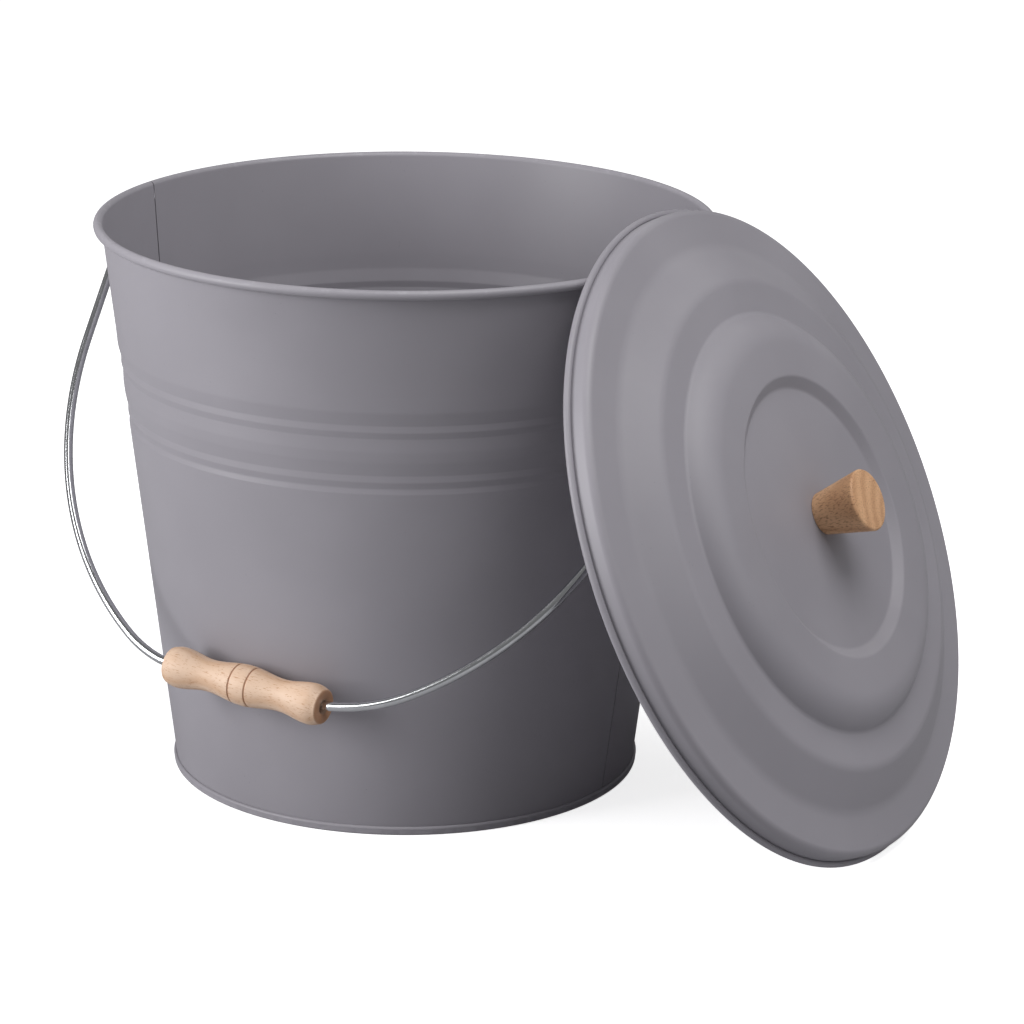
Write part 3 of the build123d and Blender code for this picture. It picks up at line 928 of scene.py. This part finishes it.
@dataclass
class Bail:
    """Wire bail, bent in one plane through its pivots. Millimetres and degrees."""

    wire_radius: float = 2.3
    drop: float = 230.6
    skew: float = 3.59
    hang: float = 53.611
    pivot_height: float = 262.0
    knuckle_radius: float = 20.0
    corner_radius: float = 6.5
    leg_reach: float = 167.1
    stub_end: float = 150.493
    middle_shift: float = -10.0
    middle_half: float = 47.0
    right_turns: tuple[float, float, float] = (9.1, 25.5, 57.3)
    right_leg: float = 68.5
    left_turns: tuple[float, float, float] = (12.0, 17.3, 56.0)
    left_leg: float = 60.5
    end_bevel: float = 0.5
    bend_step: float = 1.5
    least_steps: int = 6
    round_steps: int = 40

    @staticmethod
    def arc_step(heading: float, turn: float) -> Vector:
        """Displacement per unit radius of an arc that turns clockwise from a heading."""
        first, last = math.radians(heading), math.radians(heading - turn)
        return Vector((math.sin(first) - math.sin(last), math.cos(last) - math.cos(first)))

    def half_route(
        self, start: Point, heading: float, turns: tuple[float, float, float], leg: float
    ) -> list[Point]:
        """Points along half of the bail, from its straight middle to the stub's end.

        Args:
            start: Where the straight middle ends.
            heading: Direction of the wire there, in degrees.
            turns: Turns of the knuckle, the bow and the shoulder.
            leg: Length of the straight leg.

        Returns:
            The points, in the bail's plane.
        """
        knuckle_turn, bow_turn, shoulder_turn = turns
        leg_heading = heading - sum(turns)
        corner = self.arc_step(leg_heading, 180.0 + leg_heading)
        leg_way = Vector((math.cos(math.radians(leg_heading)), math.sin(math.radians(leg_heading))))
        corner_y = -self.corner_radius * corner.y
        corner_x = self.leg_reach + corner_y * leg_way.x / leg_way.y
        knuckle_end = Vector(start) + self.arc_step(heading, knuckle_turn) * self.knuckle_radius
        goal = Vector((corner_x, corner_y)) - leg_way * leg - knuckle_end
        bow = self.arc_step(heading - knuckle_turn, bow_turn)
        shoulder = self.arc_step(heading - knuckle_turn - bow_turn, shoulder_turn)
        scale = bow.x * shoulder.y - bow.y * shoulder.x
        bends = [
            (self.knuckle_radius, knuckle_turn),
            ((goal.x * shoulder.y - goal.y * shoulder.x) / scale, bow_turn),
            ((bow.x * goal.y - bow.y * goal.x) / scale, shoulder_turn),
        ]
        points = [start]
        place = Vector(start)
        for radius, turn in bends:
            points += self.bend_points(place, heading, radius, turn)
            place = place + self.arc_step(heading, turn) * radius
            heading -= turn
        place = place + leg_way * leg
        points.append(tuple(place))
        points += self.bend_points(place, heading, self.corner_radius, 180.0 + heading)
        points.append((self.stub_end, 0.0))
        return points

    def bend_points(self, place: Vector, heading: float, radius: float, turn: float) -> list[Point]:
        """Points along one clockwise bend, without its first."""
        count = max(self.least_steps, math.ceil(turn / self.bend_step))
        steps = [self.arc_step(heading, turn * index / count) for index in range(1, count + 1)]
        return [tuple(place + step * radius) for step in steps]

    def route(self) -> list[Point]:
        """Points along the whole wire, from the left stub to the right one."""
        slope = math.tan(math.radians(self.skew))
        right_x = self.middle_shift + self.middle_half
        left_x = self.middle_shift - self.middle_half
        right_start = (right_x, self.drop + right_x * slope)
        left_start = (-left_x, self.drop + left_x * slope)
        right = self.half_route(right_start, self.skew, self.right_turns, self.right_leg)
        left = self.half_route(left_start, -self.skew, self.left_turns, self.left_leg)
        return [(-x, y) for x, y in reversed(left)] + right

    def build(self, material: bpy.types.Material) -> None:
        """Builds the wire.

        Args:
            material: The plated steel.
        """
        points = self.route()
        shape = bmesh.new()
        rows = []
        for index, point in enumerate(points):
            before = Vector(points[max(index - 1, 0)])
            after = Vector(points[min(index + 1, len(points) - 1)])
            along = (after - before).normalized()
            side = Vector((-along.y, along.x, 0.0))
            place = Vector((*point, 0.0))
            ends = index in (0, len(points) - 1)
            radius = self.wire_radius - (self.end_bevel if ends else 0.0)
            rows.append(self.ring(shape, place, side, radius))
            if index == 0:
                inset = place + Vector((*along, 0.0)) * self.end_bevel
                rows.append(self.ring(shape, inset, side, self.wire_radius))
            elif index == len(points) - 1:
                inset = place - Vector((*along, 0.0)) * self.end_bevel
                rows.insert(-1, self.ring(shape, inset, side, self.wire_radius))
        grid_faces(shape, rows, False)
        tilt = Matrix.Rotation(math.radians(180.0 + self.hang), 4, "X")
        place = Matrix.Translation((0.0, 0.0, self.pivot_height * MM)) @ tilt
        piece = finish_mesh(shape, "bail", SHARP_METAL, place)
        place_piece(piece, material, Body.BAIL, Slot.WIRE, "bail_wire")

    def ring(
        self, shape: bmesh.types.BMesh, place: Vector, side: Vector, radius: float
    ) -> list[bmesh.types.BMVert]:
        """Ring of points round the wire at a place."""
        row = []
        for step in range(self.round_steps):
            turn = 2 * math.pi * step / self.round_steps
            point = place + (side * math.cos(turn) + Vector((0.0, 0.0, 1.0)) * math.sin(turn)) * radius
            row.append(shape.verts.new(point * MM))
        return row


@dataclass
class Grip:
    """Turned grip that the bail runs through. Millimetres."""

    length: float = 90.5
    bulge_radius: float = 10.15
    waist_radius: float = 7.9
    end_radius: float = 8.3
    bore_radius: float = 3.5
    bulge_inset: float = 6.5
    waist_spread: float = 21.0
    groove_spread: float = 4.7
    groove_width: float = 0.9
    groove_depth: float = 0.45
    left_edge: float = 2.2
    left_step: float = 9.0
    right_edge: float = 1.2
    bore_bevel: float = 0.5
    run_steps: int = 460
    steps: int = 96

    def stations(self) -> list[Point]:
        """Radius at each named place along the grip."""
        half = self.length / 2
        bulge = half - self.bulge_inset
        places = [(bulge, self.bulge_radius), (self.waist_spread, self.waist_radius)]
        left = [(-half, self.end_radius)] + [(-place, radius) for place, radius in places]
        right = [(place, radius) for place, radius in reversed(places)] + [(half, self.end_radius)]
        return left + [(0.0, self.bulge_radius)] + right

    def radius_at(self, along: float) -> float:
        """Radius of the turned shape at a place, with level crests and waists."""
        stations = self.stations()
        for (low, first), (high, last) in zip(stations, stations[1:]):
            if along <= high:
                share = min(max((along - low) / (high - low), 0.0), 1.0)
                if low == stations[0][0]:
                    return first + (last - first) * math.sin(share * math.pi / 2)
                if high == stations[-1][0]:
                    return first + (last - first) * (1.0 - math.cos(share * math.pi / 2))
                return first + (last - first) * (0.5 - 0.5 * math.cos(share * math.pi))
        return stations[-1][1]

    def groove(self, along: float) -> float:
        """Depth of the cut rings at a place."""
        away = abs(abs(along) - self.groove_spread)
        return self.groove_depth * max(0.0, 1.0 - (2 * away / self.groove_width) ** 2)

    def section(self) -> list[Point]:
        """Closed section, as (radius, place along the grip)."""
        half = self.length / 2
        left, right = self.left_edge, self.right_edge
        run = self.length - left - right
        places = [-half + left + run * index / self.run_steps for index in range(self.run_steps + 1)]
        outside = [(self.radius_at(place) - self.groove(place), place) for place in places]
        foot = arc_points((outside[0][0] - left, -half + left), left, -90.0, 90.0, self.left_step)
        head = arc_points((outside[-1][0] - right, half - right), right, 0.0, 90.0, EDGE_STEP)
        bore, bevel = self.bore_radius, self.bore_bevel
        inside = [(bore + bevel, half), (bore, half - bevel), (bore, -half + bevel), (bore + bevel, -half)]
        return foot[:-1] + outside + head[1:] + inside

    def build(self, material: bpy.types.Material) -> None:
        """Builds the grip.

        Args:
            material: The wood.
        """
        origin, axis = joint_place("grip_spin")
        place = axis_frame(origin, axis, Vector((0.0, -1.0, 0.0)))
        piece = turned("turned_grip", self.section(), self.steps, SHARP_WOOD, place)
        place_piece(piece, material, Body.GRIP, Slot.GRIP, "grip")


@dataclass
class Lid:
    """Stepped lid with a rolled edge and its knob. Millimetres, with heights above the skirt's end."""

    outer_radius: float = 164.4
    sheet: float = 0.7
    curl_radius: float = 1.71
    curl_turn: float = 300.0
    curl_drop: float = 3.63
    hole_radius: float = 2.1
    seat: Point = (12.5, 31.6)
    dish: Point = (64.8, 29.0)
    step: Point = (70.0, 32.9)
    crown: Point = (96.9, 32.9)
    ring: Point = (104.3, 22.7)
    cone: Point = (121.8, 22.7)
    band: Point = (141.2, 11.3)
    shoulder_rise: float = 9.1
    bends: tuple[float, ...] = (20.0, 2.8, 2.8, 20.5, 2.8, 10.0, 14.0, 4.0)
    knob_height: float = 25.8
    knob_shift: float = 1.4
    knob_base: float = 10.3
    knob_top: float = 15.5
    knob_dome: float = 0.9
    knob_edge: float = 1.3
    knob_foot_edge: float = 0.5
    seat_gap: float = 0.02
    dome_steps: int = 12
    knob_steps: int = 96
    steps: int = 360

    def place(self) -> Matrix:
        """Frame of the lid, with its Z along the lid's axis."""
        origin, axis = joint_place("lid_lift")
        return axis_frame(origin, axis, Vector((0.0, -1.0, 0.0)))

    def shell_section(self) -> list[Point]:
        """Closed section of the lid's sheet."""
        centre_radius = self.outer_radius - self.curl_radius
        centre_height = self.curl_radius - self.curl_drop
        bore = self.curl_radius - self.sheet
        skirt = centre_radius - bore
        corners = [
            (self.hole_radius, self.seat[1]),
            self.seat,
            self.dish,
            self.step,
            self.crown,
            self.ring,
            self.cone,
            self.band,
            (skirt, self.shoulder_rise),
            (skirt, centre_height),
        ]
        run = rounded_run(corners, list(self.bends))
        run += arc_points((centre_radius, centre_height), bore, 180.0, self.curl_turn, CURL_STEP)[1:]
        return sheet_section(run, -self.sheet)

    def build_shell(self, material: bpy.types.Material) -> None:
        """Builds the lid's sheet.

        Args:
            material: The coat.
        """
        piece = turned("lid_sheet", self.shell_section(), self.steps, SHARP_METAL, self.place())
        for vertex in piece.data.vertices:
            if vertex.co.xy.length < 2 * self.hole_radius * MM:
                vertex.co.y -= self.knob_shift * MM
        place_piece(piece, material, Body.LID, Slot.LID, "lid_shell")

    def build_knob(self, material: bpy.types.Material) -> None:
        """Builds the flared knob.

        Args:
            material: The wood.
        """
        base = self.seat_gap
        top = base + self.knob_height
        ball = (self.knob_top**2 + self.knob_dome**2) / (2 * self.knob_dome)
        rim = self.knob_top
        corners = [(0.0, base), (self.knob_base, base), (rim, top)]
        dome = []
        for index in range(1, self.dome_steps + 1):
            out = rim * (1.0 - index / self.dome_steps)
            dome.append((out, top + self.knob_dome - ball + math.sqrt(ball**2 - out**2)))
        run = rounded_run(corners + dome, [self.knob_foot_edge, self.knob_edge] + [0.0] * (len(dome) - 1))
        lift = Matrix.Translation((0.0, -self.knob_shift * MM, self.seat[1] * MM))
        piece = turned("turned_knob", run, self.knob_steps, SHARP_WOOD, self.place() @ lift)
        place_piece(piece, material, Body.LID, Slot.KNOB, "lid_knob")


@dataclass(frozen=True)
class Softbox:
    """One soft light, placed from its aim point along the view's own directions. Metres and watts."""

    name: str
    right: float
    ahead: float
    up: float
    size: Point
    power: float


@dataclass
class Studio:
    """Camera, floor and lights. Metres and degrees."""

    lens: float = 145.126
    sensor: float = 36.0
    camera_distance: float = 2.003887
    camera_height: float = 0.7458905
    camera_turn: float = 30.62
    camera_heading: float = 29.0785
    camera_pitch: float = 17.0951
    camera_roll: float = 0.57103
    picture_size: int = 1024
    floor_half: float = 6.0
    floor_colour: Colour = (0.86, 0.86, 0.87)
    floor_bounce: Colour = (0.42, 0.42, 0.43)
    floor_glow: float = 0.76
    room_light: float = 0.2
    aim: Point3 = (0.05, 0.0, 0.15)
    lights: tuple[Softbox, ...] = (
        Softbox("left_softbox", -1.5, -0.55, 0.45, (0.9, 1.1), 25.0),
        Softbox("right_softbox", 1.7, -0.6, 1.0, (1.0, 1.4), 6.0),
        Softbox("top_softbox", 0.5, -0.5, 1.9, (1.4, 1.4), 30.0),
    )

    def set_camera(self) -> None:
        """Sets the camera where the photograph was taken."""
        data = bpy.data.cameras.new("view")
        data.lens = self.lens
        data.sensor_width = self.sensor
        camera = bpy.data.objects.new("view", data)
        bpy.context.scene.collection.objects.link(camera)
        turn = math.radians(self.camera_turn)
        camera.location = (
            self.camera_distance * math.sin(turn),
            -self.camera_distance * math.cos(turn),
            self.camera_height,
        )
        heading = Matrix.Rotation(math.radians(self.camera_heading), 3, "Z")
        pitch = Matrix.Rotation(math.radians(90.0 - self.camera_pitch), 3, "X")
        roll = Matrix.Rotation(math.radians(self.camera_roll), 3, "Z")
        camera.rotation_euler = (heading @ pitch @ roll).to_euler()
        bpy.context.scene.camera = camera
        bpy.context.scene.render.resolution_x = self.picture_size
        bpy.context.scene.render.resolution_y = self.picture_size

    def build_floor(self) -> None:
        """Builds the floor. The camera sees it white, and it throws less light back on the object."""
        shape = bmesh.new()
        bmesh.ops.create_grid(shape, x_segments=4, y_segments=4, size=self.floor_half)
        floor = finish_mesh(shape, "floor", SHARP_METAL, Matrix.Identity(4))
        material = bpy.data.materials.new("floor_white")
        graph = fresh_graph(material)
        diffuse = graph.node("ShaderNodeBsdfDiffuse", {"Color": (*self.floor_colour, 1.0)})
        dim = graph.node("ShaderNodeBsdfDiffuse", {"Color": (*self.floor_bounce, 1.0)})
        glow = graph.node("ShaderNodeEmission", {"Color": WHITE, "Strength": self.floor_glow})
        both = graph.node("ShaderNodeAddShader", {0: diffuse.outputs[0], 1: glow.outputs[0]})
        seen = graph.node("ShaderNodeLightPath").outputs["Is Camera Ray"]
        pick = graph.node("ShaderNodeMixShader", {0: seen, 1: dim.outputs[0], 2: both.outputs[0]})
        graph.node("ShaderNodeOutputMaterial", {"Surface": pick.outputs[0]})
        floor.data.materials.append(material)

    def light(self, softbox: Softbox) -> None:
        """Adds one soft light.

        Args:
            softbox: The light.
        """
        heading = math.radians(self.camera_heading)
        right = Vector((math.cos(heading), math.sin(heading), 0.0))
        ahead = Vector((-right.y, right.x, 0.0))
        aim = Vector(self.aim)
        place = aim + right * softbox.right + ahead * softbox.ahead + Vector((0.0, 0.0, softbox.up))
        data = bpy.data.lights.new(softbox.name, "AREA")
        data.shape = "RECTANGLE"
        data.size, data.size_y = softbox.size
        data.energy = softbox.power
        lamp = bpy.data.objects.new(softbox.name, data)
        bpy.context.scene.collection.objects.link(lamp)
        lamp.location = place
        lamp.rotation_euler = (aim - place).to_track_quat("-Z", "Y").to_euler()
        log.info("%s gives %.0f W", softbox.name, softbox.power)

    def build_lights(self) -> None:
        """Sets the soft lights and the light of the room."""
        for softbox in self.lights:
            self.light(softbox)
        world = bpy.data.worlds.new("room")
        graph = fresh_graph(world)
        seen = graph.node("ShaderNodeLightPath").outputs["Is Camera Ray"]
        strength = graph.sum_of("MULTIPLY_ADD", seen, 1.0 - self.room_light, self.room_light)
        room = graph.node("ShaderNodeBackground", {"Color": WHITE, "Strength": strength})
        graph.node("ShaderNodeOutputWorld", {"Surface": room.outputs[0]})
        bpy.context.scene.world = world
        bpy.context.scene.view_settings.view_transform = "Standard"


def main() -> None:
    """Builds every piece in order and sets the scene."""
    effects = Effects()
    rim_scuff = CoatBand("Z", 0.2826, 0.0022, 0.42)
    foot_scuff = CoatBand("Z", 0.001, 0.0035, 0.55)
    edge_scuff = CoatBand("Z", -0.0036, 0.0016, 0.45)
    body_coat = CoatFinish("body_coat", bands=(rim_scuff, foot_scuff)).build(effects)
    # Near-black coat that paints the shade inside each seam's gap.
    gap_painted_shade_grey = (0.035, 0.033, 0.036)
    seam_painted_shade = CoatFinish("seam_painted_shade", colour=gap_painted_shade_grey, roughness=0.6, dust=0.0).build(effects)
    lid_coat = CoatFinish("lid_coat", bands=(edge_scuff,)).build(effects)
    ear_coat = CoatFinish("ear_coat", colour=(0.26, 0.25, 0.275), roughness=0.42).build(effects)
    zinc = ZincFinish("zinc_wire").build(effects)
    steel_grey = (0.56, 0.56, 0.57)
    steel = ZincFinish("fixing_steel", colour=steel_grey, roughness=0.3, fineness=1500.0).build(effects)
    ring_brown = (0.30, 0.12, 0.055)
    end_brown = (0.42, 0.20, 0.10)
    grip_wood = WoodFinish(
        "grip_wood",
        light=(0.69, 0.50, 0.37),
        dark=(0.60, 0.39, 0.255),
        pore=(0.45, 0.23, 0.12),
        rings=60.0,
        pores=0.9,
        bands=(
            WoodBand(-0.0047, 0.0007, 0.9, ring_brown),
            WoodBand(0.0047, 0.0007, 0.9, ring_brown),
            WoodBand(0.0454, 0.0009, 0.85, end_brown),
            WoodBand(-0.0454, 0.0009, 0.7, end_brown),
        ),
    ).build(effects)
    knob_wood = WoodFinish(
        "knob_wood",
        light=(0.70, 0.42, 0.235),
        dark=(0.54, 0.295, 0.155),
        pore=(0.24, 0.10, 0.045),
        rings=38.0,
        pores=1.3,
    ).build(effects)

    bucket = Bucket()
    bucket.build_wall(body_coat, seam_painted_shade)
    bucket.build_pan(body_coat)
    dress_node("ear_right", ear_coat)
    dress_node("ear_left", ear_coat)
    for name in ("ear_right_rivets", "ear_left_rivets", "knob_screw", "knob_washer"):
        dress_node(name, steel)
    for name in ("rim_wire", "lid_edge_wire"):
        dress_node(name, zinc)
    Bail().build(zinc)
    Grip().build(grip_wood)
    lid = Lid()
    lid.build_shell(lid_coat)
    lid.build_knob(knob_wood)

    studio = Studio()
    studio.set_camera()
    studio.build_floor()
    studio.build_lights()


if __name__ == "__main__":
    logging.basicConfig(level=logging.INFO, format="%(name)s: %(message)s")
    main()
